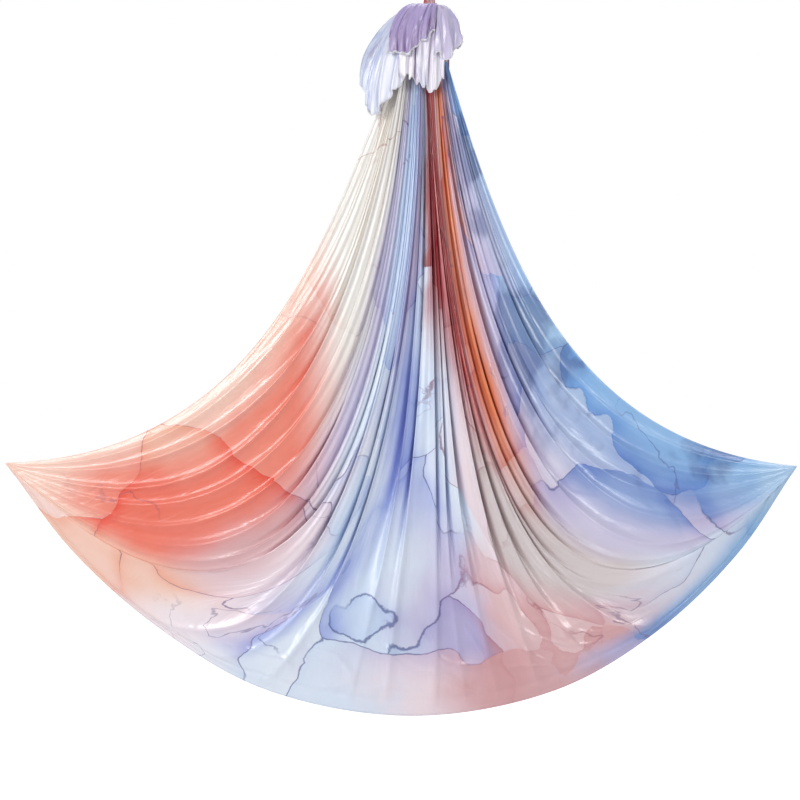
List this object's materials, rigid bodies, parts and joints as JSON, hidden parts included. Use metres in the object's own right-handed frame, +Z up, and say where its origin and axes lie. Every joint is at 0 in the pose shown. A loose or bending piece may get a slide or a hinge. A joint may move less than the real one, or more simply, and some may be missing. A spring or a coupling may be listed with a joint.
{
  "type": "aerial yoga hammock",
  "caption": "Aerial yoga hammock: a wide folded sheet of satin tricot, gathered, tied and hung from a steel screw-lock carabiner, with ruffled tails.",
  "frame": {"origin": "inside top of the carabiner's upper bow, where the hammock hangs", "axes": "+Z up, +X to the right along the spread seat as the picture shows it, +Y from the front layer of cloth to the back one"},
  "size_m": [2.24, 0.1727, 2.1451],
  "materials": {
    "cloth": "satin",
    "steel": "satin",
    "pin_steel": "satin",
    "sleeve_steel": "satin"
  },
  "bodies": {
    "carabiner": {"carabiner_body": "steel", "gate_pin": "pin_steel"},
    "gate": {"gate": "steel", "latch_pin": "pin_steel", "spring_plunger": "pin_steel", "gate_spring": "pin_steel"},
    "sleeve": {"lock_sleeve": "sleeve_steel"},
    "hammock": {"front_neck": "cloth", "back_neck": "cloth", "front_panel": "cloth", "back_panel": "cloth", "tie": "cloth", "tail_hood": "cloth", "tail_left": "cloth", "tail_ruffle": "cloth", "tail_right": "cloth", "tail_back": "cloth"}
  },
  "joints": [
    {"name": "gate_hinge", "type": "hinge", "parent": "carabiner", "child": "gate", "pos_m": [-0.0275, 0, -0.066], "axis": [0, 1, 0], "range_deg": [0, 25], "stiffness_Nm_per_rad": 0.3},
    {"name": "sleeve_travel", "type": "slide", "parent": "gate", "child": "sleeve", "axis": [0, 0, 1], "range_m": [0, 0.012]},
    {"name": "hammock_swing", "type": "hinge", "parent": "carabiner", "child": "hammock", "pos_m": [0, 0, -0.0955], "axis": [1, 0, 0], "range_deg": [-50, 50]}
  ]
}
